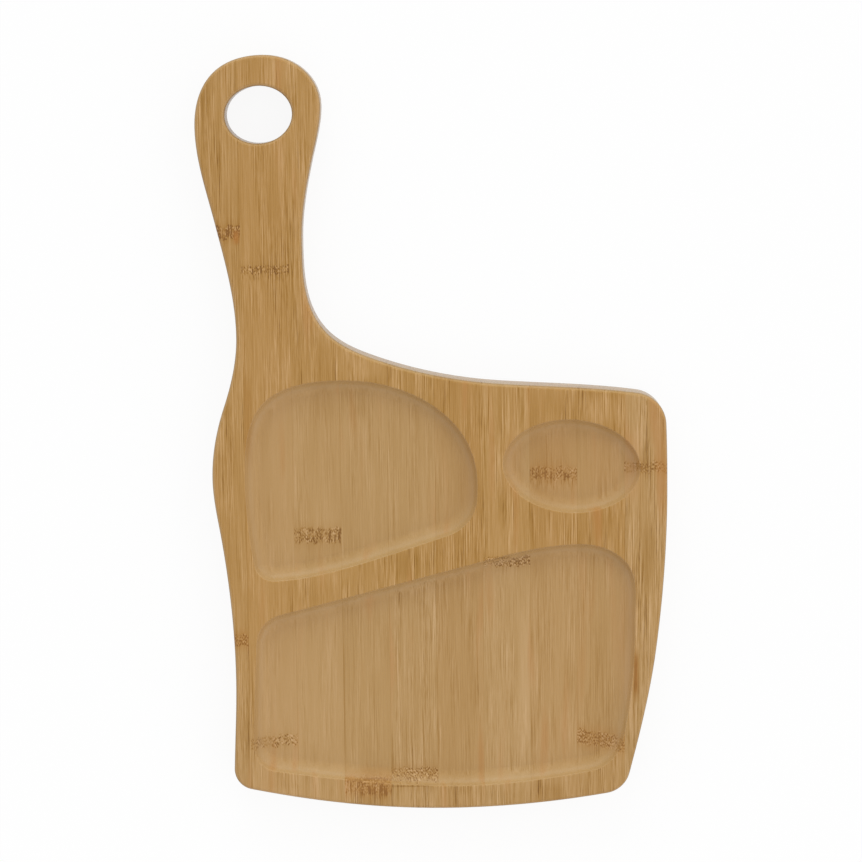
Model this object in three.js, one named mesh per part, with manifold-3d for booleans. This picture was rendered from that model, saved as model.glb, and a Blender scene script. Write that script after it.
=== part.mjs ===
// Bamboo snack tray: a paddle-shaped serving board with three routed pockets and a hanging hole.
// The board is glued up from two plies of flat bamboo strips that run along the handle, then cut
// to its outline, rounded over and routed, so every strip carries its share of edge and pocket.
// Millimetres, +Z up, +Y towards the handle. The origin is on the resting face, under the middle
// of the board's bounding box.

import * as THREE from 'three';
import { mergeVertices } from 'three/addons/utils/BufferGeometryUtils.js';
import Module from 'manifold-3d';

// Overall sizes
const BODY_LENGTH = 180;
const HANDLE_LENGTH = 141;
const BOARD_WIDTH = 196;
const PLY_THICKNESS = 7.5;
const STRIP_WIDTH = 20;
const EDGE_STRIP_WIDTH = 18;
const GLUE_LINE = 0.1;
const EDGE_RADIUS = 1.5;
const POCKET_DEPTH = 4.2;
const COVE_RADIUS = 7;

// How finely curves are divided, and how far the cutters reach past the faces they cut
const CURVE_SEGMENTS = 8;
const OVAL_SEGMENTS = 48;
const EDGE_SEGMENTS = 3;
const COVE_SEGMENTS = 4;
const CUT_SPARE = 2;

// Headings in degrees, counterclockwise from +X
const FULL_TURN = 360;
const EAST = 0;
const NORTH = 90;
const WEST = 180;
const SOUTH = 270;

// The board's edge, walked counterclockwise from the middle of the foot. A station is a distance
// in from the left or right edge, and a distance up from the bottom edge, up from the shoulder
// level or down from the top of the handle. A corner is rounded between two headings.
const OUTLINE = {
  footCrown: { left: 101, bottom: 0, heading: EAST },
  footRight: { right: 17.8, bottom: 7.2, arrive: 9.5, leave: 75.5, radius: 12 },
  flankRight: { right: 4.6, bottom: 68.4, heading: 82.5 },
  sideRight: { right: 0, shoulder: -43.5, heading: NORTH },
  shoulderCorner: { right: 1, shoulder: -2.5, arrive: 92.5, leave: 172, radius: 14 },
  shoulderSlope: { right: 69.8, shoulder: 3.5, heading: 176 },
  shoulderRise: { left: 69.8, shoulder: 15.8, heading: 159 },
  neckRoot: { left: 52.4, shoulder: 26.8, heading: 131 },
  neckRight: { left: 43.6, top: 76.4, heading: NORTH },
  headRoot: { left: 48, top: 44.4, heading: 77.5 },
  headRight: { left: 52.2, top: 21, heading: NORTH },
  headCrown: { left: 28.8, top: 0, heading: WEST },
  headCorner: { left: 7.5, top: 7.7, heading: 226 },
  headLeft: { left: 0, top: 29.4, heading: SOUTH },
  handleLeft: { left: 7.3, top: 68.4, heading: 283.5 },
  waistLeft: { left: 15.4, shoulder: 24.5, heading: SOUTH },
  hipLeft: { left: 9.5, shoulder: -5.5, heading: 251 },
  bulgeLeft: { left: 4.1, shoulder: -35.5, heading: SOUTH },
  flankLeft: { left: 7.6, shoulder: -63.5, heading: 278.5 },
  tuckLeft: { left: 12.2, bottom: 57.4, heading: SOUTH },
  footLeft: { left: 10.5, bottom: 10.8, arrive: 268, leave: 348, radius: 9 },
};

// The D-shaped pocket under the handle
const SNACK_POCKET = {
  top: { left: 60, shoulder: 6.1, heading: WEST },
  topLeft: { left: 29.4, shoulder: -0.5, heading: 213 },
  left: { left: 17.5, shoulder: -37.5, heading: SOUTH },
  bottomLeft: { left: 22, shoulder: -80.4, arrive: 280, leave: 2, radius: 9 },
  bottom: { left: 68, shoulder: -72.5, heading: 16.5 },
  bottomRight: { right: 80.4, shoulder: -57.2, arrive: 18, leave: 88, radius: 18 },
  right: { right: 79.8, shoulder: -38.5, heading: NORTH },
};

// The large pocket across the foot
const MAIN_POCKET = {
  top: { right: 36.8, shoulder: -64.7, heading: WEST },
  slope: { right: 87.8, shoulder: -74.2, heading: 194.5 },
  topLeft: { left: 21.5, shoulder: -96.5, arrive: 194, leave: 267, radius: 14 },
  bottomLeft: { left: 19.2, bottom: 18.1, arrive: SOUTH, leave: 352, radius: 11 },
  bottom: { left: 105.8, bottom: 9.6, heading: EAST },
  bottomRight: { right: 21.2, bottom: 17.7, arrive: 10.5, leave: 77, radius: 18 },
  right: { right: 13.2, shoulder: -97.5, heading: NORTH },
  topRight: { right: 17.8, shoulder: -72.2, heading: 134 },
};

// The oval pocket at the upper right, and the hole that the board hangs by
const DIP_POCKET = { right: 40.5, shoulder: -31.7, length: 58.7, height: 40.4, tilt: -4.4 };
const HANGING_HOLE = { left: 26.5, top: 24.5, length: 27.8, height: 23.6, tilt: 5.4 };

// Bamboo tones
const FACE_COLOR = 0xb88d57;
const BACK_COLOR = 0xb0844d;
const TONE_STEP = 0.02;
const ROUGHNESS = 0.5;

// Datum lines
const boardLength = BODY_LENGTH + HANDLE_LENGTH;
const boardThickness = 2 * PLY_THICKNESS;
const leftEdge = -BOARD_WIDTH / 2;
const rightEdge = BOARD_WIDTH / 2;
const bottomEdge = -boardLength / 2;
const shoulderLevel = bottomEdge + BODY_LENGTH;
const topEdge = boardLength / 2;

const wasm = await Module();
wasm.setup();

// A station's place in the board's plane
function place({ left, right, bottom, shoulder, top }) {
  const x = left === undefined ? rightEdge - right : leftEdge + left;
  if (bottom !== undefined) return new THREE.Vector2(x, bottomEdge + bottom);
  if (shoulder !== undefined) return new THREE.Vector2(x, shoulderLevel + shoulder);
  return new THREE.Vector2(x, topEdge - top);
}

function direction(heading) {
  const angle = THREE.MathUtils.degToRad(heading);
  return new THREE.Vector2(Math.cos(angle), Math.sin(angle));
}

// The turn from one heading to the next, in radians, between a half turn right and a half turn left
function turnBetween(from, to) {
  const halfTurn = FULL_TURN / 2;
  const degrees = THREE.MathUtils.euclideanModulo(to - from + halfTurn, FULL_TURN) - halfTurn;
  return THREE.MathUtils.degToRad(degrees);
}

// A plain station is one knot. A corner is two, where its arc leaves and joins the tangents.
function knotsOf(station) {
  const point = place(station);
  if (station.radius === undefined) return [{ point, heading: station.heading }];
  const { arrive, leave, radius } = station;
  const reach = radius * Math.tan(Math.abs(turnBetween(arrive, leave)) / 2);
  return [
    { point: point.clone().addScaledVector(direction(arrive), -reach), heading: arrive },
    { point: point.clone().addScaledVector(direction(leave), reach), heading: leave },
  ];
}

// A closed smooth line through the stations. Between two knots runs a cubic whose handles are as
// long as those of a circular arc with the same chord and turn.
function smoothShape(stations) {
  const knots = Object.values(stations).flatMap(knotsOf);
  const shape = new THREE.Shape();
  shape.moveTo(knots[0].point.x, knots[0].point.y);
  knots.forEach((start, index) => {
    const end = knots[(index + 1) % knots.length];
    const chord = start.point.distanceTo(end.point);
    const handle = chord / (3 * Math.cos(turnBetween(start.heading, end.heading) / 4) ** 2);
    const first = start.point.clone().addScaledVector(direction(start.heading), handle);
    const second = end.point.clone().addScaledVector(direction(end.heading), -handle);
    shape.bezierCurveTo(first.x, first.y, second.x, second.y, end.point.x, end.point.y);
  });
  return shape;
}

function ovalShape(oval, Kind = THREE.Shape) {
  const centre = place(oval);
  const tilt = THREE.MathUtils.degToRad(oval.tilt);
  const turn = 2 * Math.PI;
  const curve = new THREE.EllipseCurve(
    centre.x, centre.y, oval.length / 2, oval.height / 2, 0, turn, false, tilt,
  );
  return new Kind(curve.getPoints(OVAL_SEGMENTS).slice(1));
}

function solidOf(geometry) {
  const bare = geometry.clone();
  bare.deleteAttribute('normal');
  bare.deleteAttribute('uv');
  const merged = mergeVertices(bare);
  return new wasm.Manifold(new wasm.Mesh({
    numProp: 3,
    vertProperties: merged.attributes.position.array,
    triVerts: new Uint32Array(merged.index.array),
  }));
}

function geometryOf(solid) {
  const mesh = solid.getMesh();
  const geometry = new THREE.BufferGeometry();
  geometry.setAttribute('position', new THREE.BufferAttribute(mesh.vertProperties, 3));
  geometry.setIndex(new THREE.BufferAttribute(mesh.triVerts, 1));
  geometry.computeVertexNormals();
  return geometry;
}

// The blank: the outline with its hanging hole, rounded over along every edge
function boardBlank() {
  const shape = smoothShape(OUTLINE);
  shape.holes.push(ovalShape(HANGING_HOLE, THREE.Path));
  const geometry = new THREE.ExtrudeGeometry(shape, {
    depth: boardThickness - 2 * EDGE_RADIUS,
    bevelThickness: EDGE_RADIUS,
    bevelSize: EDGE_RADIUS,
    bevelOffset: -EDGE_RADIUS,
    bevelSegments: EDGE_SEGMENTS,
    curveSegments: CURVE_SEGMENTS,
  });
  geometry.translate(0, 0, EDGE_RADIUS);
  return solidOf(geometry);
}

// The router's cut for one pocket: a cove that slopes from the rim into a flat floor
function pocketCut(shape) {
  const coveRun = Math.sqrt(COVE_RADIUS ** 2 - (COVE_RADIUS - POCKET_DEPTH) ** 2);
  const geometry = new THREE.ExtrudeGeometry(shape, {
    depth: CUT_SPARE,
    bevelThickness: COVE_RADIUS,
    bevelSize: COVE_RADIUS,
    bevelOffset: -coveRun,
    bevelSegments: COVE_SEGMENTS,
    curveSegments: CURVE_SEGMENTS,
  });
  geometry.translate(0, 0, boardThickness - POCKET_DEPTH + COVE_RADIUS);
  return solidOf(geometry);
}

function routedBoard() {
  return boardBlank()
    .subtract(pocketCut(smoothShape(SNACK_POCKET)))
    .subtract(pocketCut(smoothShape(MAIN_POCKET)))
    .subtract(pocketCut(ovalShape(DIP_POCKET)));
}

// The space of one strip in its ply, less half a glue line on each glued side
function stripSpace(left, right, low, high) {
  const length = boardLength + CUT_SPARE;
  const geometry = new THREE.BoxGeometry(right - left - GLUE_LINE, length, high - low);
  geometry.translate((left + right) / 2, 0, (low + high) / 2);
  return solidOf(geometry);
}

// Where the outline or the hole cuts a strip in two, the piece in the handle's head is named for it
function pieceNames(stripName, pieces) {
  const neckLevel = place(OUTLINE.neckRight).y;
  const used = new Map();
  return pieces.map((piece) => {
    const { min, max } = piece.boundingBox();
    const inHead = pieces.length > 1 && (min[1] + max[1]) / 2 > neckLevel;
    const name = inHead ? `${stripName}_head` : stripName;
    const count = (used.get(name) ?? 0) + 1;
    used.set(name, count);
    return count === 1 ? name : `${name}_${count}`;
  });
}

// One ply of strips, cut out of the routed board lane by lane from the left
function addPly(tray, board, { name, low, high, firstJoint, color }) {
  const sides = [leftEdge - CUT_SPARE];
  for (let joint = firstJoint; joint < rightEdge; joint += STRIP_WIDTH) sides.push(joint);
  sides.push(rightEdge + CUT_SPARE);
  for (let lane = 1; lane < sides.length; lane += 1) {
    const pieces = board.intersect(stripSpace(sides[lane - 1], sides[lane], low, high)).decompose();
    const names = pieceNames(`${name}_strip_${String(lane).padStart(2, '0')}`, pieces);
    pieces.forEach((piece, index) => {
      const tone = TONE_STEP * ((lane % 3) - 1);
      const material = new THREE.MeshStandardMaterial({ color, roughness: ROUGHNESS, metalness: 0 });
      material.color.offsetHSL(0, 0, tone);
      const mesh = new THREE.Mesh(geometryOf(piece), material);
      mesh.name = names[index];
      tray.add(mesh);
    });
  }
}

const tray = new THREE.Group();
const board = routedBoard();

// The plies meet on the middle plane, with the back ply's joints half a strip off the face ply's
const firstFaceJoint = leftEdge + EDGE_STRIP_WIDTH;
addPly(tray, board, {
  name: 'face',
  low: PLY_THICKNESS + GLUE_LINE / 2,
  high: boardThickness + CUT_SPARE,
  firstJoint: firstFaceJoint,
  color: FACE_COLOR,
});
addPly(tray, board, {
  name: 'back',
  low: -CUT_SPARE,
  high: PLY_THICKNESS - GLUE_LINE / 2,
  firstJoint: firstFaceJoint - STRIP_WIDTH / 2,
  color: BACK_COLOR,
});

export default tray;
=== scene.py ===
"""A bamboo snack tray: a paddle-shaped board with three routed pockets and a hanging hole.

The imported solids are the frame. Each bamboo strip of the two plies is modelled again with fine
curves, dressed in a finish of its own and set to stand for its solid. Sizes are in millimetres
and angles in degrees where nothing else is said.
"""

from __future__ import annotations

import logging
import math
from dataclasses import dataclass, field, replace
from enum import Enum
from typing import Any, Mapping, Optional, Sequence, Union

import bmesh
import bpy
from mathutils import Color, Matrix, Vector
from mathutils.geometry import interpolate_bezier

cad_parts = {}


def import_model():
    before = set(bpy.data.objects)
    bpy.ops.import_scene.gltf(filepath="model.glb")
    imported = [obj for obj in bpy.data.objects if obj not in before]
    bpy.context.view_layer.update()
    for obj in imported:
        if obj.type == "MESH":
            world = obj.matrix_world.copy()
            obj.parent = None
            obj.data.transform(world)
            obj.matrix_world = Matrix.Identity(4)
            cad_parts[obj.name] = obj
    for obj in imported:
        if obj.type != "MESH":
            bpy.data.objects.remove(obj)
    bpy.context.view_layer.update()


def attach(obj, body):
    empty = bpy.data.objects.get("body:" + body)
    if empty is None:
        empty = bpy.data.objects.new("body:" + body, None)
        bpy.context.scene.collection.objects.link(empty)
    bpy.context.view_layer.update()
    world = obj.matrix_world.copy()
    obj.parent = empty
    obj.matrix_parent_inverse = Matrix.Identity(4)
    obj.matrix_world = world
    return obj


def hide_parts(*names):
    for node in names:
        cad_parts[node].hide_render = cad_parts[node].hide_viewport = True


LOG = logging.getLogger("snack_tray")
MM = 0.001
BODY = "root"
WALL = "wall_slope"
FULL_TURN = 360.0
EAST, NORTH, WEST, SOUTH = 0.0, 90.0, 180.0, 270.0
OVAL_SPANS = 8
STRIP_WIDTH = 20.0
FULL_LEVEL = 255
PLAIN_TONE = 0.5
TONE_STOPS = (0.0, 0.15, PLAIN_TONE, 1.0)

Shell = bmesh.types.BMesh
Edge = bmesh.types.BMEdge
Socket = bpy.types.NodeSocket
Colour = tuple[float, float, float, float]
Cell = tuple[float, float, float]
Range = tuple[float, float]
Number = Union["Signal", float]

WHITE: Colour = (1.0, 1.0, 1.0, 1.0)


def paint(red: int, green: int, blue: int) -> Colour:
    """Turn a colour as a screen shows it into the linear one that a shader takes.

    Args:
        red, green, blue: the screen colour, each from 0 to 255.

    Returns:
        The linear colour with an alpha of one.
    """
    shown = Color((red / FULL_LEVEL, green / FULL_LEVEL, blue / FULL_LEVEL))
    return (*shown.from_srgb_to_scene_linear(), 1.0)


# Lines


@dataclass(frozen=True)
class Knot:
    """A point of a smooth line and the line's heading there."""

    place: Vector
    heading: float

    def ahead(self, reach: float) -> Vector:
        """Return the point that lies reach millimetres along the heading."""
        angle = math.radians(self.heading)
        return self.place + reach * Vector((math.cos(angle), math.sin(angle), 0.0))


@dataclass(frozen=True)
class Station:
    """A place that a line passes through, with its heading there."""

    x: float
    y: float
    heading: float

    def knots(self) -> list[Knot]:
        """Return the station as one knot."""
        return [Knot(Vector((self.x, self.y, 0.0)), self.heading)]


@dataclass(frozen=True)
class Corner:
    """A rounded corner: where its tangents cross, their headings, and its radius."""

    x: float
    y: float
    arrive: float
    leave: float
    radius: float

    def knots(self) -> list[Knot]:
        """Find where the corner's arc leaves one tangent and joins the other.

        Returns:
            The two knots in order.
        """
        reach = self.radius * math.tan(abs(turn_between(self.arrive, self.leave)) / 2)
        crossing = Vector((self.x, self.y, 0.0))
        start = Knot(crossing, self.arrive).ahead(-reach)
        end = Knot(crossing, self.leave).ahead(reach)
        return [Knot(start, self.arrive), Knot(end, self.leave)]


def turn_between(arrive: float, leave: float) -> float:
    """Return the turn from one heading to another in radians, half a turn either way at most."""
    half = FULL_TURN / 2
    return math.radians((leave - arrive + half) % FULL_TURN - half)


@dataclass(frozen=True)
class SmoothLine:
    """A closed line through stations and corners, walked counterclockwise."""

    stops: tuple[Union[Station, Corner], ...]

    def points(self, steps: int) -> list[Vector]:
        """Divide the line.

        Args:
            steps: points for each span between two knots.

        Returns:
            The points in order, without repeating the first.
        """
        knots = [knot for stop in self.stops for knot in stop.knots()]
        found: list[Vector] = []
        for start, end in zip(knots, knots[1:] + knots[:1]):
            # Handles of this length make the span an arc where both its ends lie on one.
            chord = (end.place - start.place).length
            quarter = turn_between(start.heading, end.heading) / 4
            handle = chord / (3 * math.cos(quarter) ** 2)
            span = interpolate_bezier(
                start.place, start.ahead(handle), end.ahead(-handle), end.place, steps + 1
            )
            found.extend(span[:-1])
        return found


@dataclass(frozen=True)
class Oval:
    """An upright oval cut, tilted in the board's plane, and grown by the same all round."""

    x: float
    y: float
    length: float
    height: float
    tilt: float
    grow: float = 0.0

    def points(self, steps: int) -> list[Vector]:
        """Divide the oval.

        Args:
            steps: points for each of the oval's equal spans.

        Returns:
            The points in order, counterclockwise.
        """
        count = OVAL_SPANS * steps
        place = Matrix.Translation((self.x, self.y, 0.0))
        place = place @ Matrix.Rotation(math.radians(self.tilt), 4, "Z")
        angles = [2 * math.pi * index / count for index in range(count)]
        across = self.length / 2 + self.grow
        along = self.height / 2 + self.grow
        return [place @ Vector((across * math.cos(a), along * math.sin(a), 0.0)) for a in angles]


Line = Union[SmoothLine, Oval]


# The board


@dataclass(frozen=True)
class Step:
    """One step of a cut: how far it goes in and down, and its slope at the end in radians."""

    inwards: float
    down: float
    slope: float


def rounded_steps(radius: float, steepest: float, segments: int, hollow: bool) -> list[Step]:
    """Work out a rounded cut.

    Args:
        radius: the radius of the cut's arc.
        steepest: the arc's steepest slope, in radians.
        segments: how many straight steps stand for the arc.
        hollow: whether the arc is a cove that ends level, not a round-over that starts level.

    Returns:
        The steps from the outside inwards.
    """
    slopes = [steepest * index / segments for index in range(segments + 1)]
    if hollow:
        slopes.reverse()
    steps: list[Step] = []
    for start, end in zip(slopes, slopes[1:]):
        inwards = radius * abs(math.sin(end) - math.sin(start))
        down = radius * abs(math.cos(end) - math.cos(start))
        steps.append(Step(inwards, down, end))
    return steps


@dataclass
class RoutedBoard:
    """The glued-up board, shaped, rounded over and routed, before it is parted into strips."""

    thickness: float = 15.0
    edge_radius: float = 1.5
    pocket_depth: float = 4.2
    cove_radius: float = 6.7
    rim_easing: float = 0.7
    line_steps: int = 14
    edge_segments: int = 6
    cove_segments: int = 16
    easing_segments: int = 5
    outline: SmoothLine = SmoothLine((
        Station(3.0, -160.5, EAST),
        Corner(80.2, -153.3, 9.5, 75.5, 12.0),
        Station(93.4, -92.1, 82.5),
        Station(98.0, -24.0, NORTH),
        Corner(97.0, 17.0, 92.5, 172.0, 14.0),
        Station(28.2, 23.0, 176.0),
        Station(-28.2, 35.3, 159.0),
        Station(-45.6, 46.3, 131.0),
        Station(-54.4, 84.1, NORTH),
        Station(-50.0, 116.1, 77.5),
        Station(-45.8, 139.5, NORTH),
        Station(-69.2, 160.5, WEST),
        Station(-90.5, 152.8, 226.0),
        Station(-98.0, 131.1, SOUTH),
        Station(-90.7, 92.1, 283.5),
        Station(-82.6, 44.0, SOUTH),
        Station(-88.5, 14.0, 251.0),
        Station(-93.9, -16.0, SOUTH),
        Station(-90.4, -44.0, 278.5),
        Station(-85.8, -103.1, SOUTH),
        Corner(-87.5, -149.7, 268.0, 348.0, 9.0),
    ))
    snack_pocket: SmoothLine = SmoothLine((
        Station(-38.0, 25.6, WEST),
        Station(-68.6, 19.0, 213.0),
        Station(-80.5, -18.0, SOUTH),
        Corner(-76.0, -60.9, 280.0, 2.0, 9.0),
        Station(-30.0, -53.0, 16.5),
        Corner(17.6, -37.7, 18.0, 88.0, 18.0),
        Station(18.2, -19.0, NORTH),
    ))
    main_pocket: SmoothLine = SmoothLine((
        Station(61.2, -45.2, WEST),
        Station(10.2, -54.7, 194.5),
        Corner(-76.5, -77.0, 194.0, 267.0, 14.0),
        Corner(-78.8, -142.4, SOUTH, 352.0, 11.0),
        Station(7.8, -150.9, EAST),
        Corner(76.8, -142.8, 10.5, 77.0, 18.0),
        Station(84.8, -78.0, NORTH),
        Station(80.2, -52.7, 134.0),
    ))
    dip_pocket: Oval = Oval(57.5, -12.2, 58.7, 40.4, -4.4)
    hanging_hole: Oval = Oval(-71.5, 136.0, 27.8, 23.6, 5.4)

    def half(self, routed: bool) -> Shell:
        """Model one half of the board's thickness as a closed shell.

        Args:
            routed: True for the upper half with its pockets, False for the plain lower half.

        Returns:
            The shell in metres, in its place in the board.
        """
        shell = bmesh.new()
        shell.verts.layers.float.new(WALL)
        foot = self._loop(shell, self.outline, self.thickness / 2)
        rim = self._raise(shell, foot)
        hole = self._loop(shell, replace(self.hanging_hole, grow=self.edge_radius), self.thickness)
        pockets: list[list[Edge]] = []
        if routed:
            lines = (self.snack_pocket, self.dip_pocket, self.main_pocket)
            pockets = [self._loop(shell, line, self.thickness) for line in lines]

        # The face is filled between its rim and the cuts, and the middle plane round the hole.
        up = Vector((0.0, 0.0, 1.0))
        face_edges = sum(pockets, rim + hole)
        bmesh.ops.triangle_fill(shell, use_beauty=True, edges=face_edges, normal=up)
        foot += self._drill(shell, hole)
        for pocket in pockets:
            self._rout(shell, pocket)
        bmesh.ops.triangle_fill(shell, use_beauty=True, edges=foot, normal=-up)

        # The lower half is made as an upper one and mirrored.
        if not routed:
            flip = Matrix.Translation((0.0, 0.0, self.thickness * MM)) @ Matrix.Scale(-1, 4, up)
            bmesh.ops.transform(shell, matrix=flip, verts=shell.verts)
        bmesh.ops.recalc_face_normals(shell, faces=shell.faces)
        return shell

    def _loop(self, shell: Shell, line: Line, height: float) -> list[Edge]:
        """Draw a closed line.

        Args:
            shell: the half board.
            line: the line to draw.
            height: how high it lies.

        Returns:
            The line's edges in order.
        """
        points = line.points(self.line_steps)
        verts = [shell.verts.new((*(point.xy * MM), height * MM)) for point in points]
        return [shell.edges.new(pair) for pair in zip(verts, verts[1:] + verts[:1])]

    def _raise(self, shell: Shell, foot: Sequence[Edge]) -> list[Edge]:
        """Raise the side from the foot line to the face and round it over.

        Args:
            shell: the half board.
            foot: the outline's edges on the middle plane.

        Returns:
            The edges that the face has to fill up to.
        """
        made = bmesh.ops.extrude_edge_only(shell, edges=list(foot))["geom"]
        raised = [item for item in made if isinstance(item, bmesh.types.BMVert)]
        bmesh.ops.translate(shell, verts=raised, vec=(0.0, 0.0, self.thickness / 2 * MM))
        top = [edge for edge in shell.edges if all(vert in raised for vert in edge.verts)]
        bmesh.ops.contextual_create(shell, geom=top)
        bmesh.ops.bevel(
            shell,
            geom=top,
            offset=self.edge_radius * MM,
            offset_type="OFFSET",
            segments=self.edge_segments,
            profile=0.5,
            affect="EDGES",
            material=-1,
            clamp_overlap=False,
        )
        cap = max(shell.faces, key=lambda face: face.calc_area())
        self._mark_side(shell)
        edges = list(cap.edges)
        bmesh.ops.delete(shell, geom=[cap], context="FACES_ONLY")
        return edges

    def _mark_side(self, shell: Shell) -> None:
        """Note at each vertex how steep the rounded side is, as a negative slope.

        Args:
            shell: the half board, with its side only.
        """
        layer = shell.verts.layers.float[WALL]
        for vert in shell.verts:
            level = 1.0 - (self.thickness - vert.co.z / MM) / self.edge_radius
            level = min(max(level, 0.0), 1.0)
            vert[layer] = -math.sqrt(1.0 - level * level)

    def _sink(self, shell: Shell, edges: Sequence[Edge], steps: Sequence[Step]) -> bmesh.types.BMFace:
        """Step a cut down from its line on the face, and note its slope at each vertex.

        Args:
            shell: the half board.
            edges: the cut's closed line.
            steps: the cut's steps from its line inwards.

        Returns:
            The face at the bottom of the cut.
        """
        face = bmesh.ops.contextual_create(shell, geom=list(edges))["faces"][0]
        face.normal_update()
        if face.normal.z < 0:
            face.normal_flip()
        for step in steps:
            bmesh.ops.inset_region(
                shell,
                faces=[face],
                thickness=step.inwards * MM,
                depth=-step.down * MM,
                use_boundary=True,
                use_even_offset=True,
            )
            for vert in face.verts:
                vert[shell.verts.layers.float[WALL]] = math.sin(step.slope)
        return face

    def _drill(self, shell: Shell, edges: Sequence[Edge]) -> list[Edge]:
        """Round the hole's edge over and cut it down to the middle plane.

        Args:
            shell: the half board.
            edges: the hole's line on the face.

        Returns:
            The hole's edges on the middle plane.
        """
        rounding = rounded_steps(self.edge_radius, math.pi / 2, self.edge_segments, hollow=False)
        face = self._sink(shell, edges, [replace(step, slope=-step.slope) for step in rounding])
        throat = list(face.edges)
        bmesh.ops.delete(shell, geom=[face], context="FACES_ONLY")
        made = bmesh.ops.extrude_edge_only(shell, edges=throat)["geom"]
        lowered = [item for item in made if isinstance(item, bmesh.types.BMVert)]
        drop = self.thickness / 2 - self.edge_radius
        bmesh.ops.translate(shell, verts=lowered, vec=(0.0, 0.0, -drop * MM))
        return [edge for edge in shell.edges if all(vert in lowered for vert in edge.verts)]

    def _rout(self, shell: Shell, edges: Sequence[Edge]) -> None:
        """Cut a pocket: an eased rim and a cove that slopes into a flat floor.

        Args:
            shell: the half board.
            edges: the pocket's line on the face.
        """
        slope = math.acos(1 - self.pocket_depth / (self.cove_radius + self.rim_easing))
        easing = rounded_steps(self.rim_easing, slope, self.easing_segments, hollow=False)
        cove = rounded_steps(self.cove_radius, slope, self.cove_segments, hollow=True)
        self._sink(shell, edges, easing + cove)


# Shader tools


class Signal:
    """A number that varies over a surface. Python's operators on it add Math nodes."""

    def __init__(self, bench: Bench, socket: Socket) -> None:
        """Wrap a socket of the bench's node tree."""
        self.bench = bench
        self.socket = socket

    def _math(self, operation: str, *operands: Number) -> Signal:
        """Add a Math node.

        Args:
            operation: what the node does.
            operands: its inputs in order.

        Returns:
            The result.
        """
        sockets = dict(enumerate(operands))
        node = self.bench.node("ShaderNodeMath", {"operation": operation}, sockets)
        return Signal(self.bench, node.outputs[0])

    def __add__(self, other: Number) -> Signal:
        """Return the sum."""
        return self._math("ADD", self, other)

    __radd__ = __add__

    def __sub__(self, other: Number) -> Signal:
        """Return the difference."""
        return self._math("SUBTRACT", self, other)

    def __rsub__(self, other: float) -> Signal:
        """Return a number less this signal."""
        return self._math("SUBTRACT", other, self)

    def __mul__(self, other: Number) -> Signal:
        """Return the product."""
        return self._math("MULTIPLY", self, other)

    __rmul__ = __mul__

    def __abs__(self) -> Signal:
        """Return the size without its sign."""
        return self._math("ABSOLUTE", self)

    def least(self, other: Number) -> Signal:
        """Return the lesser of the two."""
        return self._math("MINIMUM", self, other)

    def most(self, other: Number) -> Signal:
        """Return the greater of the two."""
        return self._math("MAXIMUM", self, other)

    def rise(self, low: float, high: float) -> Signal:
        """Add a soft step.

        Args:
            low: the number at which the step is nought.
            high: the number at which it is one, which may be less than low.

        Returns:
            The step, from nought to one.
        """
        settings = {"interpolation_type": "SMOOTHSTEP", "clamp": True}
        sockets = {"Value": self, "From Min": low, "From Max": high, "To Min": 0.0, "To Max": 1.0}
        node = self.bench.node("ShaderNodeMapRange", settings, sockets)
        return Signal(self.bench, node.outputs[0])


class Bench:
    """A material or world whose node tree is being wired."""

    def __init__(self, tree: bpy.types.NodeTree) -> None:
        """Clear the tree for new nodes."""
        self.tree = tree
        tree.nodes.clear()

    def node(
        self, kind: str, settings: Mapping[str, Any], sockets: Mapping[Union[int, str], Any]
    ) -> bpy.types.Node:
        """Add a node.

        Args:
            kind: the node's type.
            settings: its own properties, set first; stops are a ramp's places and colours.
            sockets: a value, a socket or a signal for each input, by name, identifier or place.

        Returns:
            The new node.
        """
        node = self.tree.nodes.new(kind)
        for name, setting in settings.items():
            if name == "stops":
                self._set_stops(node.color_ramp.elements, setting)
            else:
                setattr(node, name, setting)
        for key, value in sockets.items():
            target = self._input(node, key)
            if isinstance(value, Signal):
                self.tree.links.new(value.socket, target)
            elif isinstance(value, Socket):
                self.tree.links.new(value, target)
            else:
                target.default_value = value
        return node

    @staticmethod
    def _set_stops(elements: Any, stops: Sequence[tuple[float, Colour]]) -> None:
        """Give a ramp its stops.

        Args:
            elements: the ramp's own stops.
            stops: the place and the colour of each stop.
        """
        while len(elements) < len(stops):
            elements.new(1.0)
        for element, (place, colour) in zip(elements, stops):
            element.position = place
            element.color = colour

    @staticmethod
    def _input(node: bpy.types.Node, key: Union[int, str]) -> Socket:
        """Find an input.

        Args:
            node: the node that has it.
            key: the input's place, identifier or name.

        Returns:
            The input's socket.
        """
        if isinstance(key, int):
            return node.inputs[key]
        for socket in node.inputs:
            if key in (socket.identifier, socket.name):
                return socket
        raise KeyError(f"{node.bl_idname} has no input {key}")

    def mix(self, share: Signal, start: Union[Socket, Colour], end: Union[Socket, Colour]) -> Socket:
        """Mix two colours.

        Args:
            share: how much of the end colour there is, from nought to one.
            start: the colour at nought.
            end: the colour at one.

        Returns:
            The mixed colour.
        """
        settings = {"data_type": "RGBA", "clamp_factor": True}
        sockets = {"Factor_Float": share, "A_Color": start, "B_Color": end}
        node = self.node("ShaderNodeMix", settings, sockets)
        return next(socket for socket in node.outputs if socket.identifier == "Result_Color")


# Bamboo


@dataclass(frozen=True)
class Knuckle:
    """A band across a strip where the cane had a knuckle: broken, speckled fibres, often browner.

    The dashes are the share of long flecks among its specks, the tail is how far they run on below
    it, and the lean is how much it rises for each millimetre to the right.
    """

    y: float
    height: float
    strength: float
    warmth: float = 0.0
    dashes: float = 0.3
    tail: float = 0.0
    lean: float = 0.0


@dataclass(frozen=True)
class Streak:
    """A soft mark along the fibres, darker where shade is positive; on some pocket walls, painted
    light.
    """

    x: float
    y: float
    width: float
    length: float
    shade: float
    warmth: float = 0.0


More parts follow.
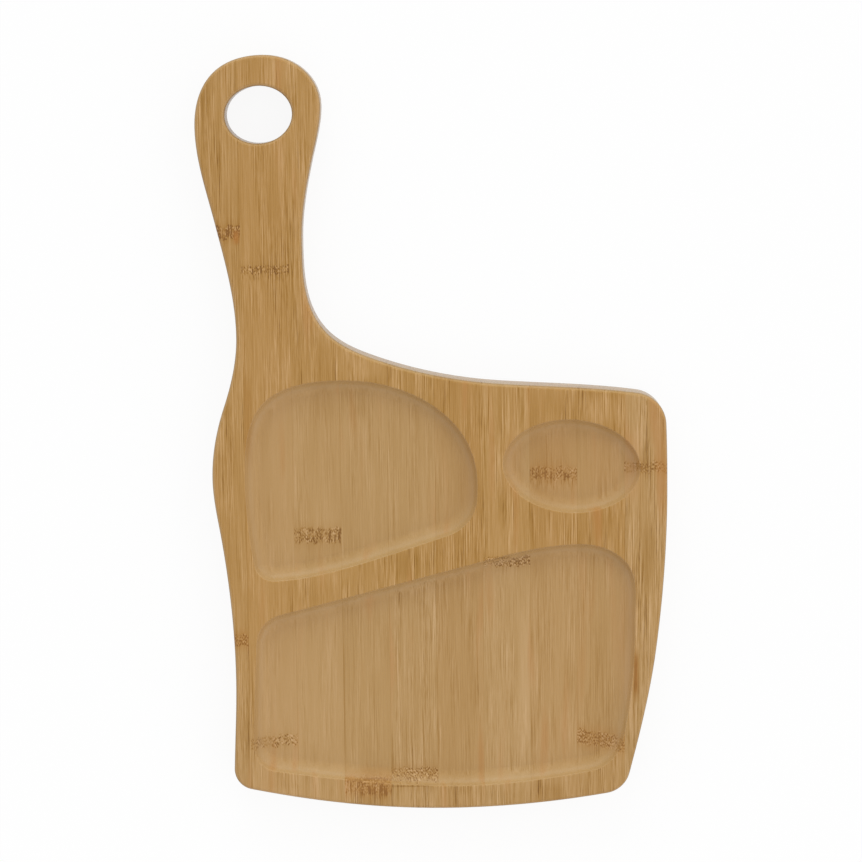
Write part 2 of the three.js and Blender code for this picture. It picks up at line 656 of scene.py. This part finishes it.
@dataclass(frozen=True)
class StripLook:
    """What sets one strip apart: how pale, warm and fibrous it is, and its marks.

    The slant is how much paler the strip is at its right side than at its left, sanded is how much
    its face has of the routed tones, and floor_grain is how fibrous it is on the main pocket's
    floor, as a share of the plain floor.
    """

    tone: float = 0.0
    warmth: float = 0.0
    slant: float = 0.0
    grain: float = 1.0
    floor_grain: float = 1.0
    sanded: float = 0.0
    marks: tuple[Union[Knuckle, Streak], ...] = ()


@dataclass(frozen=True)
class StripPlace:
    """Where a strip is: its glue joints and its middle along x, and its place in the noise.

    The ply_joint is the height at which it is glued to the other ply, half the board's thickness.
    """

    joints: tuple[float, ...]
    middle: float
    ply_joint: float
    seed: float


@dataclass(frozen=True)
class Surface:
    """The signals from which a strip's material is made.

    The place is in metres. X, y and the distance off the joint between the plies are in
    millimetres. Routed, wall and side are one where the surface is routed, where it is a pocket's
    steep wall and where it is the board's side.
    """

    bench: Bench
    place: Socket
    x: Signal
    y: Signal
    off_joint: Signal
    routed: Signal
    wall: Signal
    side: Signal


@dataclass(frozen=True)
class NoiseLayer:
    """A noise whose cells are longer in one direction than another.

    The cell is their size along x, y and z, the offset keeps the layers of a strip apart, detail is
    how many finer layers the noise has, and the spread is how far a seed moves it along each axis.
    """

    cell: Cell
    offset: float = 0.0
    detail: float = 1.0
    roughness: float = 0.5
    middle: float = 0.5
    spread: Cell = (1.0, 1.7, 2.3)

    def draw(self, surface: Surface, seed: float, shift: float = 0.0) -> Signal:
        """Add the noise to a strip's material.

        Args:
            surface: the strip's signals.
            seed: where in the noise to look.
            shift: how much further up the strip to look, as a share of a cell.

        Returns:
            The noise, centred on nought.
        """
        scale = tuple(1 / (size * MM) for size in self.cell)
        x, y, z = (share * (seed + self.offset) for share in self.spread)
        sockets = {"Vector": surface.place, "Location": (x, y + shift, z), "Scale": scale}
        spot = surface.bench.node("ShaderNodeMapping", {"vector_type": "POINT"}, sockets)
        sockets = {
            "Vector": spot.outputs[0],
            "Scale": 1.0,
            "Detail": self.detail,
            "Roughness": self.roughness,
        }
        node = surface.bench.node("ShaderNodeTexNoise", {"noise_dimensions": "3D"}, sockets)
        return Signal(surface.bench, node.outputs[0]) - self.middle


@dataclass(frozen=True)
class Tones:
    """The colours of bamboo from its darkest specks to its palest fibres."""

    scorch: Colour
    deep: Colour
    plain: Colour
    pale: Colour

    def ramp(self, bench: Bench, tone: Signal) -> Socket:
        """Return the colour for a tone, whose middle is the plain one."""
        stops = list(zip(TONE_STOPS, (self.scorch, self.deep, self.plain, self.pale)))
        return bench.node("ShaderNodeValToRGB", {"stops": stops}, {"Fac": tone}).outputs[0]


@dataclass(frozen=True)
class KnuckleFinish:
    """How knuckles look: a ragged band of clumped specks and dashes, and a soft halo round it.

    A range is where a soft step starts and ends. The band's and the halo's are shares of the
    knuckle's half height, and the others are levels of the noise.
    """

    edge: NoiseLayer = NoiseLayer((2.4, 400.0, 5.0))
    ragged: float = 4.0
    band: Range = (1.25, 0.7)
    band_shade: float = 0.14
    band_warmth: float = 0.04
    halo: Range = (2.6, 0.5)
    halo_shade: float = 0.08
    clump: NoiseLayer = NoiseLayer((3.2, 14.0, 5.0), offset=2.0, detail=0.0)
    clump_range: Range = (-0.12, 0.1)
    clump_least: float = 0.6
    clump_more: float = 0.6
    speck: NoiseLayer = NoiseLayer((0.46, 0.95, 1.0), offset=3.0)
    speck_shift: float = 0.8
    dark_speck: Range = (0.06, 0.2)
    # The pale specks beside the dark ones are painted highlights.
    painted_speck_highlight: Range = (-0.06, -0.2)
    painted_speck_highlight_share: float = 0.75
    dash: NoiseLayer = NoiseLayer((0.55, 4.2, 1.0), offset=7.0)
    dark_dash: Range = (0.04, 0.13)
    pale_dash: Range = (-0.05, -0.14)
    pale_dash_share: float = 0.7
    tail_shade: float = 0.4

    def draw(
        self, surface: Surface, level: Signal, mark: Knuckle, seed: float
    ) -> tuple[Signal, Signal]:
        """Draw a knuckle.

        Args:
            surface: the strip's signals.
            level: the height above the knuckle's middle line.
            mark: the knuckle's size and strength.
            seed: its place in the noise.

        Returns:
            How much it darkens the strip, and how much it warms it.
        """
        half = mark.height / 2
        along = level + self.ragged * self.edge.draw(surface, seed)
        band = abs(along).rise(self.band[0] * half, self.band[1] * half)
        halo = abs(along).rise(self.halo[0] * half, self.halo[1] * half)
        clump = self.clump.draw(surface, seed).rise(*self.clump_range)
        clump = self.clump_least + self.clump_more * clump

        # Specks lie where the noise changes most along the strip, each dark one beside a pale one, as
        # on a
        # small pit lit from one side: the dark specks are the knuckle's own, deepened by painted
        # shade, and the pale ones are painted highlights.
        speck = self.speck.draw(surface, seed) - self.speck.draw(surface, seed, self.speck_shift)
        specks = speck.rise(*self.dark_speck) - self.painted_speck_highlight_share * speck.rise(*self.painted_speck_highlight)
        dash = self.dash.draw(surface, seed)
        dashes = dash.rise(*self.dark_dash) - self.pale_dash_share * dash.rise(*self.pale_dash)
        broken = (1.0 - mark.dashes) * specks + mark.dashes * dashes

        shade = band * clump * broken + self.band_shade * band + self.halo_shade * halo
        shade = mark.strength * shade
        if mark.tail:
            below = along.rise(-mark.tail - half, -half) * along.rise(half, 0.0)
            shade = shade + self.tail_shade * mark.strength * dashes * below
        return shade, self.band_warmth * band + mark.warmth * halo


@dataclass(frozen=True)
class BambooFinish:
    """Sanded and oiled bamboo: fine fibres on the faces, paler and smoother where it is cut.

    A range is where a soft step starts and ends. Slopes are sines, negative on the board's side.
    The skin is the depth at which the face turns into the routed wood, and the foot is the length
    of the board over which its face turns into the paler routed tones, which there are painted light.
    The side colour is painted shade on the board's rounded side.
    """

    face: Tones = Tones(
        scorch=paint(116, 74, 6),
        deep=paint(151, 106, 26),
        plain=paint(176, 133, 70),
        pale=paint(206, 166, 115),
    )
    routed: Tones = Tones(
        scorch=paint(118, 78, 16),
        deep=paint(155, 113, 48),
        plain=paint(180, 142, 88),
        pale=paint(207, 171, 125),
    )
    skin: Range = (0.02, 0.2)
    # Towards the board's lower end the face turns to the paler routed tones: painted light.
    foot: Range = (-70.0, -150.0)
    painted_foot_light_share: float = 0.75
    main_floor: Range = (-45.0, -62.0)
    routed_contrast: float = 0.44
    wall: Colour = paint(176, 148, 108)
    wall_slope: Range = (0.2, 0.8)
    wall_share: float = 0.3
    wall_smoothing: float = 0.6
    # The board's rounded side is mixed towards this dark colour: painted shade.
    side: Colour = paint(64, 50, 33)
    side_slope: Range = (-0.55, -1.0)
    painted_side_shade_share: float = 0.34
    side_coarseness: float = 0.7
    warm: Colour = paint(174, 114, 44)
    fibre: NoiseLayer = NoiseLayer((0.21, 22.0, 0.8))
    fibre_weight: float = 1.5
    fleck: NoiseLayer = NoiseLayer((0.34, 5.0, 0.8), offset=5.0)
    fleck_weight: float = 0.4
    bundle: NoiseLayer = NoiseLayer((1.2, 60.0, 2.4), offset=11.0)
    bundle_weight: float = 0.3
    cloud: NoiseLayer = NoiseLayer((7.0, 60.0, 8.0), offset=23.0)
    cloud_weight: float = 0.25
    blush: Range = (0.08, 0.35)
    blush_share: float = 0.5
    patch: NoiseLayer = NoiseLayer((4.5, 34.0, 6.0), offset=41.0, detail=0.0)
    patch_range: Range = (-0.16, 0.16)
    patch_least: float = 0.55
    patch_more: float = 0.9
    glue_width: Range = (0.25, 0.1)
    glue_shade: float = 0.1
    side_glue_shade: float = 0.2
    knuckle: KnuckleFinish = KnuckleFinish()
    mark_seed: float = 31.0
    streak_core: float = 0.15
    bundle_relief: float = 0.6
    bump_strength: float = 0.12
    bump_height: float = 0.2
    roughness: float = 0.28
    fibre_gloss: float = 0.2
    ior: float = 1.45

    def material(self, name: str, look: StripLook, spot: StripPlace) -> bpy.types.Material:
        """Make one strip's material.

        Args:
            name: the material's name.
            look: the strip's shade and marks.
            spot: where the strip is.

        Returns:
            The material.
        """
        made = bpy.data.materials.new(name)
        made.use_nodes = True
        bench = Bench(made.node_tree)
        surface = self._surface(bench, spot)
        fibre = self.fibre.draw(surface, spot.seed)
        fleck = self.fleck.draw(surface, spot.seed)
        bundle = self.bundle.draw(surface, spot.seed)
        cloud = self.cloud.draw(surface, spot.seed)

        grain = self.fibre_weight * fibre + self.fleck_weight * fleck + self.bundle_weight * bundle
        tone = PLAIN_TONE + look.tone + look.slant * (surface.x - spot.middle) * (1 / STRIP_WIDTH)
        tone = tone + grain * self._contrast(surface, look, spot.seed)
        tone = tone + self.cloud_weight * cloud
        warmth = look.warmth + self.blush_share * cloud.rise(*self.blush) * (1.0 - surface.side)
        for number, mark in enumerate(look.marks, start=1):
            seed = spot.seed + self.mark_seed * number
            shade, heat = self._mark(surface, mark, spot.middle, seed)
            tone = tone - shade
            warmth = warmth + heat
        glue_shade = self.glue_shade + self.side_glue_shade * surface.side
        tone = tone - glue_shade * self._glue(surface, spot.joints)

        sockets = {
            "Strength": self.bump_strength,
            "Distance": self.bump_height * MM,
            "Height": fibre + self.bundle_relief * bundle,
        }
        bump = bench.node("ShaderNodeBump", {}, sockets)
        sockets = {
            "Base Color": self._colour(surface, look, tone, warmth),
            "Roughness": self.roughness - self.fibre_gloss * fibre,
            "Normal": bump.outputs[0],
            "IOR": self.ior,
        }
        shader = bench.node("ShaderNodeBsdfPrincipled", {}, sockets)
        bench.node("ShaderNodeOutputMaterial", {}, {"Surface": shader.outputs[0]})
        return made

    def _surface(self, bench: Bench, spot: StripPlace) -> Surface:
        """Read the coordinates and the noted slope.

        Args:
            bench: the strip's node tree.
            spot: where the strip is.

        Returns:
            The strip's signals.
        """
        place = bench.node("ShaderNodeTexCoord", {}, {}).outputs["Object"]
        axes = bench.node("ShaderNodeSeparateXYZ", {}, {"Vector": place}).outputs
        x, y, z = (Signal(bench, socket) * (1 / MM) for socket in axes)
        off_joint = abs(z - spot.ply_joint)
        shallow, deep = self.skin
        attribute = bench.node("ShaderNodeAttribute", {"attribute_name": WALL}, {})
        slope = Signal(bench, attribute.outputs["Fac"])
        return Surface(
            bench=bench,
            place=place,
            x=x,
            y=y,
            off_joint=off_joint,
            routed=off_joint.rise(spot.ply_joint - shallow, spot.ply_joint - deep),
            wall=slope.rise(*self.wall_slope),
            side=slope.rise(*self.side_slope),
        )

    def _contrast(self, surface: Surface, look: StripLook, seed: float) -> Signal:
        """Work out how much the fibres show.

        Args:
            surface: the strip's signals.
            look: how fibrous the strip is.
            seed: its place in the noise.

        Returns:
            The share, about one on a plain face.
        """
        patch = self.patch.draw(surface, seed).rise(*self.patch_range)
        floor = (look.floor_grain - 1.0) * surface.routed * surface.y.rise(*self.main_floor)
        contrast = look.grain * (1.0 - (1.0 - self.routed_contrast) * surface.routed)
        contrast = contrast * (1.0 - self.wall_smoothing * surface.wall)
        contrast = contrast * (self.patch_least + self.patch_more * patch)
        contrast = contrast * (1.0 + self.side_coarseness * surface.side)
        return contrast * (1.0 + floor)

    def _mark(
        self, surface: Surface, mark: Union[Knuckle, Streak], middle: float, seed: float
    ) -> tuple[Signal, Signal]:
        """Draw a mark.

        Args:
            surface: the strip's signals.
            mark: the knuckle or the streak.
            middle: the strip's middle along x.
            seed: the mark's place in the noise.

        Returns:
            How much it darkens the strip, and how much it warms it.
        """
        if isinstance(mark, Knuckle):
            level = surface.y - mark.y - mark.lean * (surface.x - middle)
            return self.knuckle.draw(surface, level, mark, seed)
        across = abs(surface.x - mark.x).rise(mark.width / 2, 0.0)
        along = abs(surface.y - mark.y).rise(mark.length / 2, self.streak_core * mark.length)
        spread = across * along
        return mark.shade * spread, mark.warmth * spread

    def _glue(self, surface: Surface, joints: Sequence[float]) -> Signal:
        """Draw the glue lines round a strip.

        Args:
            surface: the strip's signals.
            joints: where along x the strip is glued to its neighbours.

        Returns:
            One on a glue line and nought beside it.
        """
        gap = surface.off_joint
        for joint in joints:
            gap = gap.least(abs(surface.x - joint))
        return gap.rise(*self.glue_width)

    def _colour(self, surface: Surface, look: StripLook, tone: Signal, warmth: Signal) -> Socket:
        """Colour a strip.

        Args:
            surface: the strip's signals.
            look: how much its face has of the routed tones.
            tone: how pale it is at each place.
            warmth: how warm it is there.

        Returns:
            The colour.
        """
        bench = surface.bench
        # The face takes the routed tones where it is routed, on strips listed as sanded, and towards
        # the board's lower end, where the paler tones are painted light.
        sanded = surface.routed.most(look.sanded + self.painted_foot_light_share * surface.y.rise(*self.foot))
        colour = bench.mix(sanded, self.face.ramp(bench, tone), self.routed.ramp(bench, tone))
        colour = bench.mix(self.wall_share * surface.wall, colour, self.wall)
        # The board's side and its round-over are darkened here: painted shade.
        colour = bench.mix(self.painted_side_shade_share * surface.side, colour, self.side)
        return bench.mix(warmth.least(1.0).most(0.0), colour, self.warm)


# Strips


class Ply(Enum):
    """The two layers of strips, by the name that their solids carry."""

    FACE = "face"
    BACK = "back"


@dataclass
class StripPly:
    """One layer of bamboo strips, parted from its half of the board.

    The seed is the ply's place in the noise, and lane_seed is the step from strip to strip there.
    The neck_level is where the handle's head starts. A face is flat if its normal lies along x or z
    at least as closely as flat_normal.
    """

    ply: Ply
    board: RoutedBoard
    finish: BambooFinish
    looks: Mapping[int, StripLook]
    first_joint: float
    seed: float
    lane_seed: float = 17.3
    right_edge: float = 98.0
    neck_level: float = 84.1
    saw_tolerance: float = 0.0001
    flat_normal: float = 0.99999
    sharp_angle: float = 35.0
    pieces: dict[str, bpy.types.Object] = field(default_factory=dict)

    def build(self) -> None:
        """Part the half board into strips, and each strip into its separate pieces."""
        half = self.board.half(self.ply is Ply.FACE)
        joints = [self.first_joint]
        while joints[-1] + STRIP_WIDTH < self.right_edge:
            joints.append(joints[-1] + STRIP_WIDTH)
        sides: list[Optional[float]] = [None, *joints, None]
        for lane, (left, right) in enumerate(zip(sides, sides[1:]), start=1):
            strip = self._part(half, left, right)
            spot = StripPlace(
                joints=tuple(side for side in (left, right) if side is not None),
                middle=self.first_joint - STRIP_WIDTH / 2 + (lane - 1) * STRIP_WIDTH,
                ply_joint=self.board.thickness / 2,
                seed=self.lane_seed * lane + self.seed,
            )
            name = f"bamboo_{self.ply.value}_{lane:02d}"
            material = self.finish.material(name, self.looks.get(lane, StripLook()), spot)
            islands = self._islands(strip)
            for island in islands:
                self._add(island, lane, len(islands) > 1, material)
            strip.free()
        half.free()

    def dress(self) -> None:
        """Set each piece on the body, in place of its solid."""
        for node, piece in self.pieces.items():
            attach(piece, BODY)
            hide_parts(node)
            LOG.info("%s stands for %s, %d faces", piece.name, node, len(piece.data.polygons))

    def _part(self, half: Shell, left: Optional[float], right: Optional[float]) -> Shell:
        """Saw one strip out of the half board.

        Args:
            half: the half board.
            left: the joint on the strip's left, or None at the board's edge.
            right: the joint on its right, or None at the board's edge.

        Returns:
            The strip as a closed shell.
        """
        strip = half.copy()
        for joint, inwards in ((left, 1.0), (right, -1.0)):
            if joint is None:
                continue
            # What lies beyond the joint is cleared away, and the saw cut is closed.
            sawn = bmesh.ops.bisect_plane(
                strip,
                geom=strip.verts[:] + strip.edges[:] + strip.faces[:],
                dist=self.saw_tolerance * MM,
                plane_co=(joint * MM, 0.0, 0.0),
                plane_no=(inwards, 0.0, 0.0),
                clear_inner=True,
            )
            edges = [item for item in sawn["geom_cut"] if isinstance(item, Edge)]
            bmesh.ops.edgeloop_fill(strip, edges=edges)
        bmesh.ops.recalc_face_normals(strip, faces=strip.faces)
        return strip

    @staticmethod
    def _islands(strip: Shell) -> list[Shell]:
        """Separate the pieces of a strip that the outline or the hole cuts through.

        Args:
            strip: the strip, which is left as it is.

        Returns:
            A new shell for each piece.
        """
        strip.verts.index_update()
        waiting = set(strip.verts)
        islands: list[Shell] = []
        for first in strip.verts:
            if first not in waiting:
                continue
            # Walk along the edges to find all the vertices that hang together.
            waiting.discard(first)
            reached = [first]
            kept = {first.index}
            while reached:
                vert = reached.pop()
                for edge in vert.link_edges:
                    other = edge.other_vert(vert)
                    if other in waiting:
                        waiting.discard(other)
                        reached.append(other)
                        kept.add(other.index)
            island = strip.copy()
            others = [vert for index, vert in enumerate(island.verts) if index not in kept]
            bmesh.ops.delete(island, geom=others, context="VERTS")
            islands.append(island)
        return islands

    def _add(self, island: Shell, lane: int, parted: bool, material: bpy.types.Material) -> None:
        """Make a piece an object, named for its solid.

        Args:
            island: the piece's shell, which is freed.
            lane: the strip's number from the left.
            parted: whether the strip is in more than one piece.
            material: the strip's finish.
        """
        heights = [vert.co.y for vert in island.verts]
        in_head = parted and (min(heights) + max(heights)) / 2 > self.neck_level * MM
        node = f"{self.ply.value}_strip_{lane:02d}" + ("_head" if in_head else "")

        # Flat faces are shaded flat, and sharp edges stay crisp.
        for face in island.faces:
            face.smooth = max(abs(face.normal.x), abs(face.normal.z)) < self.flat_normal
        for edge in island.edges:
            edge.smooth = edge.calc_face_angle(0.0) < math.radians(self.sharp_angle)

        mesh = bpy.data.meshes.new(f"{node}_bamboo")
        island.to_mesh(mesh)
        island.free()
        mesh.materials.append(material)
        piece = bpy.data.objects.new(mesh.name, mesh)
        bpy.context.scene.collection.objects.link(piece)
        self.pieces[node] = piece


# The strips' looks by their number from the left, with the face's marks where the photograph shows
# them, and, on some pockets' walls, paler and warmer washes that are painted light. The order of a
# strip's marks sets their places in the noise.

FACE_LOOKS: dict[int, StripLook] = {
    1: StripLook(warmth=0.03, grain=0.8, sanded=0.15, marks=(
        Streak(-85.0, 80.0, 34.0, 70.0, 0.06),
        Streak(-85.0, -125.0, 34.0, 80.0, 0.06),
        Knuckle(87.4, 5.2, 1.6, warmth=0.12, dashes=0.5),
        Streak(-81.6, 85.6, 4.4, 8.0, 0.12, warmth=0.65),
        Knuckle(-86.0, 5.0, 1.1, warmth=0.25),
    )),
    2: StripLook(tone=0.03, warmth=0.06, grain=0.85, marks=(
        Knuckle(72.0, 3.6, 0.8, dashes=0.3, tail=4.0),
        Streak(-78.5, 8.0, 6.0, 50.0, 0.18, warmth=0.12),
        Streak(-69.0, 108.0, 20.0, 44.0, 0.09),
        Knuckle(-131.0, 4.8, 0.6),
        Streak(-66.0, -112.0, 26.0, 60.0, -0.06),
        Streak(-66.0, -154.0, 30.0, 10.0, -0.11),
    )),
    3: StripLook(tone=0.03, warmth=0.02, floor_grain=0.9, marks=(
        Knuckle(-41.3, 6.4, 0.95, warmth=0.05, dashes=0.5),
        Streak(-51.9, -43.0, 1.6, 2.4, 0.6),
        Streak(-50.0, -49.0, 34.0, 22.0, 0.09),
        Streak(-44.0, 17.0, 34.0, 26.0, 0.07),
        Streak(-50.0, -110.0, 30.0, 60.0, -0.05),
        Streak(-50.0, 34.0, 34.0, 24.0, 0.08),
        Streak(-50.0, -66.0, 34.0, 14.0, 0.07),
        Streak(-58.8, 66.0, 3.6, 90.0, 0.16),
    )),
    4: StripLook(tone=-0.02, floor_grain=0.8, marks=(
        Streak(-28.0, 31.0, 24.0, 16.0, -0.12),
        Streak(-36.0, 17.0, 34.0, 26.0, 0.07),
        Streak(-39.8, -112.0, 1.0, 74.0, 0.22),
        Knuckle(-150.0, 7.0, 0.6, warmth=0.3, dashes=0.45, tail=3.0),
        Streak(-30.0, -147.6, 40.0, 1.4, 0.3),
        Streak(-30.0, -155.0, 26.0, 14.0, 0.15),
    )),
    5: StripLook(floor_grain=1.9, marks=(
        Knuckle(-146.3, 5.4, 0.7, warmth=0.1, dashes=0.1),
        Streak(-12.0, -150.3, 30.0, 1.2, 0.25),
        Streak(-10.0, -156.5, 30.0, 10.0, -0.07),
        Streak(-12.0, -54.0, 30.0, 18.0, 0.11),
    )),
    6: StripLook(tone=-0.05, warmth=0.05, grain=0.85, floor_grain=1.55, marks=(
        Streak(10.0, -157.0, 30.0, 10.0, -0.06),
        # A paler, warmer wash on the snack pocket's right wall: painted light.
        Streak(14.5, -16.0, 12.0, 50.0, -0.03, warmth=0.12),
    )),
    7: StripLook(tone=0.03, grain=0.85, floor_grain=1.5, marks=(
        Knuckle(-53.0, 4.6, 0.85, warmth=0.05),
        Streak(37.0, -105.0, 9.0, 100.0, -0.15),
        Streak(30.0, -157.0, 26.0, 14.0, 0.1),
        Streak(30.0, 12.0, 6.0, 30.0, -0.14),
        # A paler, warmer wash on the dip pocket's left wall: painted light.
        Streak(33.0, -12.0, 14.0, 36.0, -0.02, warmth=0.14),
    )),
    8: StripLook(warmth=0.06, floor_grain=1.25, marks=(
        Knuckle(-15.6, 5.4, 0.6, warmth=0.08, dashes=0.3, tail=7.0),
        Streak(50.0, -12.0, 34.0, 44.0, 0.05, warmth=0.15),
        Streak(50.0, -155.0, 26.0, 14.0, 0.14),
        Streak(50.0, 14.0, 26.0, 14.0, 0.06),
    )),
    9: StripLook(tone=-0.03, warmth=0.05, slant=0.04, floor_grain=1.2, marks=(
        Streak(71.0, 12.0, 26.0, 16.0, -0.12),
        Streak(71.0, -38.0, 30.0, 16.0, 0.06),
        Streak(70.0, -12.0, 30.0, 40.0, -0.04, warmth=0.12),
        # A paler, warmer wash on the main pocket's right wall: painted light.
        Streak(81.5, -88.0, 12.0, 90.0, -0.12, warmth=0.22),
        Knuckle(-131.6, 6.4, 0.75, warmth=0.18, dashes=0.2, lean=-0.18),
    )),
    10: StripLook(tone=0.02, sanded=0.6, marks=(
        Knuckle(-13.2, 4.4, 0.75, warmth=0.08),
        Streak(84.8, -102.5, 3.6, 27.0, 0.55, warmth=0.4),
        Streak(89.0, 14.5, 0.8, 3.0, 0.4),
        # A paler, warmer wash on the dip pocket's right wall: painted light.
        Streak(83.0, -12.0, 12.0, 40.0, -0.12, warmth=0.28),
        # A paler, warmer wash on the main pocket's right wall: painted light.
        Streak(81.5, -88.0, 12.0, 90.0, -0.12, warmth=0.22),
        Streak(86.0, -135.0, 24.0, 30.0, 0.11),
        Streak(90.0, -52.0, 16.0, 44.0, 0.15),
    )),
}

BACK_LOOKS: dict[int, StripLook] = {
    2: StripLook(tone=0.03, warmth=0.05, marks=(Knuckle(-58.0, 4.6, 0.5),)),
    3: StripLook(tone=-0.03, warmth=0.1, marks=(
        Knuckle(101.0, 4.4, 0.5, tail=5.0),
        Knuckle(-118.0, 5.0, 0.45),
    )),
    4: StripLook(tone=0.02, warmth=0.05, marks=(Knuckle(-24.0, 5.0, 0.45, warmth=0.1),)),
    5: StripLook(tone=-0.04, warmth=0.1, marks=(Knuckle(-96.0, 5.4, 0.5, tail=6.0),)),
    6: StripLook(tone=0.03, marks=(Knuckle(7.0, 4.6, 0.45),)),
    7: StripLook(warmth=0.08, marks=(Knuckle(-139.0, 5.0, 0.5),)),
    8: StripLook(tone=-0.05, warmth=0.1, marks=(Knuckle(-66.0, 4.8, 0.5, tail=5.0),)),
    9: StripLook(tone=0.04, warmth=0.05, marks=(Knuckle(-8.0, 5.0, 0.45),)),
    10: StripLook(tone=-0.01, warmth=0.05, marks=(Knuckle(-110.0, 5.2, 0.5, warmth=0.12),)),
}


# Studio


@dataclass(frozen=True)
class SoftLight:
    """A wide, far lamp: its strength, the bearing and height that it shines from, and its colour."""

    strength: float
    bearing: float
    height: float
    colour: tuple[float, float, float] = (1.0, 1.0, 1.0)

    def direction(self) -> Vector:
        """Find where the lamp is.

        Returns:
            The direction from the board to the lamp.
        """
        bearing = math.radians(self.bearing)
        height = math.radians(self.height)
        level = math.cos(height)
        return Vector((level * math.cos(bearing), level * math.sin(bearing), math.sin(height)))


@dataclass
class Studio:
    """A pale floor, soft light and the photograph's camera.

    The floor_size is in metres, and floor_white is the share of the floor that is plain white and
    takes no shadow.
    """

    ambient: float = 0.743
    ambient_tint: Colour = (1.025, 1.0, 0.985, 1.0)
    key: SoftLight = SoftLight(1.5, bearing=98.0, height=15.0, colour=(0.85, 1.0, 1.1))
    side: SoftLight = SoftLight(0.42, bearing=30.0, height=35.0)
    fill: SoftLight = SoftLight(0.45, bearing=-40.0, height=15.0)
    lamp_width: float = 40.0
    floor_size: float = 8.0
    floor_drop: float = 0.2
    floor_white: float = 0.91
    paper: Colour = (0.95, 0.95, 0.95, 1.0)
    image_pixels: int = 862
    focal_pixels: float = 2500.0
    sensor: float = 36.0
    tilt: float = 8.3
    roll: float = 0.6
    distance: float = 1050.0
    target: tuple[float, float, float] = (-1.52, 3.51, 15.0)

    def build(self) -> None:
        """Make the floor, the lights and the camera."""
        self._floor()
        self._world()
        lamps = {"key": self.key, "side": self.side, "fill": self.fill}
        for name, light in lamps.items():
            self._lamp(name, light)
        self._camera()
        bpy.context.scene.view_settings.view_transform = "Standard"

    @staticmethod
    def _seen(bench: Bench) -> Signal:
        """Tell the rays that show the background as such, to the eye or in gloss or glass.

        Args:
            bench: the node tree of the floor or the world.

        Returns:
            One for such a ray, and nought for one that only lights.
        """
        path = bench.node("ShaderNodeLightPath", {}, {}).outputs
        seen = Signal(bench, path["Is Camera Ray"])
        for name in ("Is Glossy Ray", "Is Transmission Ray"):
            seen = seen.most(Signal(bench, path[name]))
        return seen

    def _floor(self) -> None:
        """Lay a white floor just under the board, which keeps the board's shadow."""
        sheet = bmesh.new()
        bmesh.ops.create_grid(sheet, x_segments=2, y_segments=2, size=self.floor_size / 2)
        bmesh.ops.translate(sheet, verts=sheet.verts, vec=(0.0, 0.0, -self.floor_drop * MM))
        mesh = bpy.data.meshes.new("floor")
        sheet.to_mesh(mesh)
        sheet.free()
        floor = bpy.data.objects.new("floor", mesh)
        bpy.context.scene.collection.objects.link(floor)
        material = bpy.data.materials.new("white_paper")
        material.use_nodes = True
        bench = Bench(material.node_tree)
        lit = bench.node("ShaderNodeBsdfDiffuse", {}, {"Color": self.paper})
        white = bench.node("ShaderNodeEmission", {}, {"Color": WHITE, "Strength": 1.0})
        sockets = {0: self.floor_white * self._seen(bench), 1: lit.outputs[0], 2: white.outputs[0]}
        shader = bench.node("ShaderNodeMixShader", {}, sockets)
        bench.node("ShaderNodeOutputMaterial", {}, {"Surface": shader.outputs[0]})
        mesh.materials.append(material)

    def _world(self) -> None:
        """Light the board evenly from all round, and show white behind it."""
        world = bpy.data.worlds.new("studio")
        world.use_nodes = True
        bpy.context.scene.world = world
        bench = Bench(world.node_tree)
        sockets = {"Color": self.ambient_tint, "Strength": self.ambient}
        light = bench.node("ShaderNodeBackground", {}, sockets)
        white = bench.node("ShaderNodeBackground", {}, {"Color": WHITE, "Strength": 1.0})
        sockets = {0: self._seen(bench), 1: light.outputs[0], 2: white.outputs[0]}
        shader = bench.node("ShaderNodeMixShader", {}, sockets)
        bench.node("ShaderNodeOutputWorld", {}, {"Surface": shader.outputs[0]})

    def _lamp(self, name: str, light: SoftLight) -> None:
        """Add a lamp that is too soft to leave a glint.

        Args:
            name: the lamp's name.
            light: its strength, colour and direction.
        """
        lamp = bpy.data.lights.new(name, "SUN")
        lamp.energy = light.strength
        lamp.color = light.colour
        lamp.angle = math.radians(self.lamp_width)
        holder = bpy.data.objects.new(name, lamp)
        holder.rotation_euler = light.direction().to_track_quat("Z", "Y").to_euler()
        holder.visible_glossy = False
        bpy.context.scene.collection.objects.link(holder)

    def _camera(self) -> None:
        """Put the camera where the photograph was taken from."""
        lens = bpy.data.cameras.new("camera")
        lens.sensor_width = self.sensor
        lens.sensor_fit = "HORIZONTAL"
        lens.lens = self.focal_pixels / self.image_pixels * self.sensor
        camera = bpy.data.objects.new("camera", lens)
        lean = Matrix.Rotation(-math.radians(self.tilt), 4, "X")
        roll = Matrix.Rotation(-math.radians(self.roll), 4, "Z")
        back = Matrix.Translation((0.0, 0.0, self.distance * MM))
        camera.matrix_world = Matrix.Translation(Vector(self.target) * MM) @ lean @ roll @ back
        bpy.context.scene.collection.objects.link(camera)
        bpy.context.scene.camera = camera


def main() -> None:
    """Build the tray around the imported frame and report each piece."""
    logging.basicConfig(level=logging.INFO, format="%(name)s: %(message)s")
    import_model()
    Studio().build()
    board = RoutedBoard()
    finish = BambooFinish()
    plies = (
        StripPly(Ply.FACE, board, finish, FACE_LOOKS, first_joint=-80.0, seed=0.0),
        StripPly(Ply.BACK, board, finish, BACK_LOOKS, first_joint=-90.0, seed=411.0),
    )
    for ply in plies:
        ply.build()
        ply.dress()


if __name__ == "__main__":
    main()
